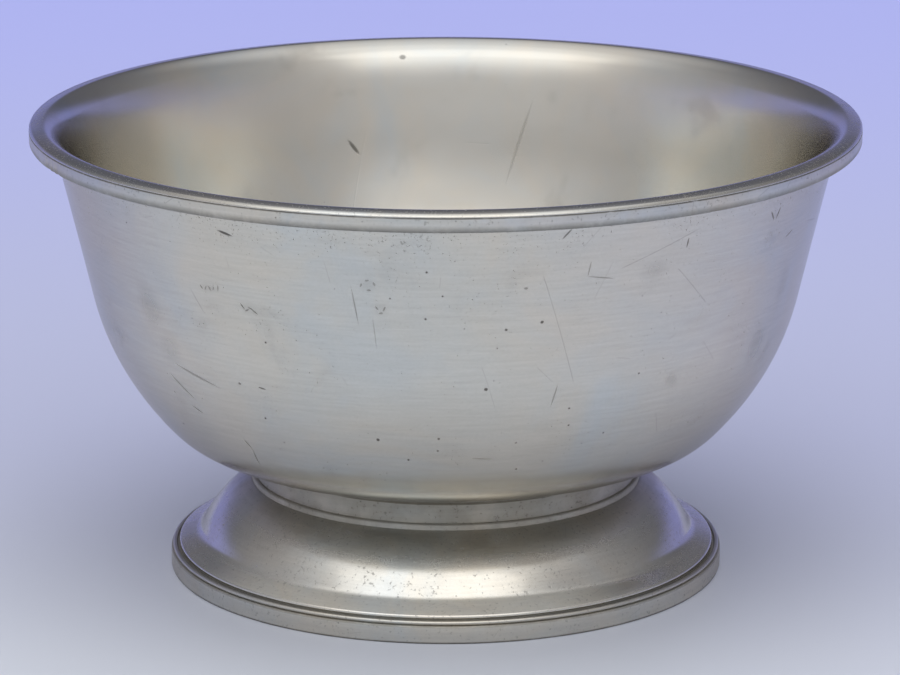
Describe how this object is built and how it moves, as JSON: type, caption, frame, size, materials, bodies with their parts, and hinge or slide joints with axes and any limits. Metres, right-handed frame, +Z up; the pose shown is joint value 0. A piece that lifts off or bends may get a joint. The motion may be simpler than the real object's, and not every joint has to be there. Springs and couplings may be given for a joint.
{
  "type": "footed bowl",
  "caption": "Round pewter bowl with a flared lip, an edge strip under the lip, a short collar and a domed hollow foot on a flat base ring; stands on a table and holds food.",
  "frame": {"origin": "centre of the circle on which the foot stands, on the table", "axes": "+Z up along the turning axis; X and Y are any two square directions, because the bowl is round"},
  "size_m": [0.1524, 0.1524, 0.0848],
  "materials": {
    "satin_pewter": "satin, fine turning lines round the axis, worn",
    "bright_pewter": "brighter polish, slightly worn",
    "soft_solder": "dull, as wiped"
  },
  "bodies": {
    "root": {"bowl_shell": "satin_pewter", "rim_band": "satin_pewter", "rim_band_solder": "soft_solder", "foot_collar": "satin_pewter", "bowl_to_collar_solder": "soft_solder", "foot_dome": "bright_pewter", "collar_to_dome_solder": "soft_solder", "foot_base_ring": "satin_pewter", "base_ring_solder": "soft_solder"}
  },
  "joints": []
}
